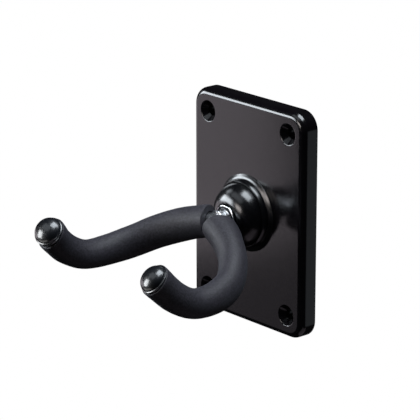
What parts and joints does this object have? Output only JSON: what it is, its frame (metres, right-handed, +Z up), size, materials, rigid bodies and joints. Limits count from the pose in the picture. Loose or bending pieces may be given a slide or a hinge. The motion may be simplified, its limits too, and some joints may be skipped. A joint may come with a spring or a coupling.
{
  "type": "wall guitar hanger",
  "caption": "Wall plate with a domed boss and a free-turning padded yoke that holds a guitar by its neck.",
  "frame": {"origin": "centre of the wall plate's back face, on the swivel axis, in the plane of the wall", "axes": "+Z up, +Y into the wall, +X to the right of someone facing the wall; the yoke stands out along -Y"},
  "size_m": [0.0933, 0.1047, 0.11],
  "materials": {
    "plate_plastic": "fine satin moulded black",
    "gloss_paint": "high-gloss black enamel on die-cast zinc",
    "bright_chrome": "polished chrome plate",
    "zinc_steel": "bright zinc-plated steel",
    "spring_steel": "oiled spring steel",
    "black_foam": "matt closed-cell foam",
    "gloss_cap": "polished black plastic",
    "black_nylon": "machined black nylon",
    "natural_nylon": "natural nylon"
  },
  "bodies": {
    "base": {"back_plate": "plate_plastic", "boss_collar": "gloss_paint", "boss_screw_1": "zinc_steel", "boss_screw_2": "zinc_steel", "boss_screw_3": "zinc_steel", "boss_screw_4": "zinc_steel", "chrome_ring": "bright_chrome", "swivel_bush": "black_nylon", "friction_washer": "natural_nylon"},
    "yoke": {"swivel_stud": "zinc_steel", "yoke_rod": "zinc_steel", "weld_bead": "zinc_steel", "foam_sleeve_left": "black_foam", "foam_sleeve_right": "black_foam", "end_cap_left": "gloss_cap", "end_cap_right": "gloss_cap", "steel_washer": "zinc_steel", "disc_spring": "spring_steel", "lock_nut": "zinc_steel", "nut_insert": "black_nylon"}
  },
  "joints": [
    {"name": "yoke_swivel", "type": "hinge", "parent": "base", "child": "yoke", "pos_m": [0, -0.018, 0], "axis": [0, -1, 0], "continuous": true}
  ]
}
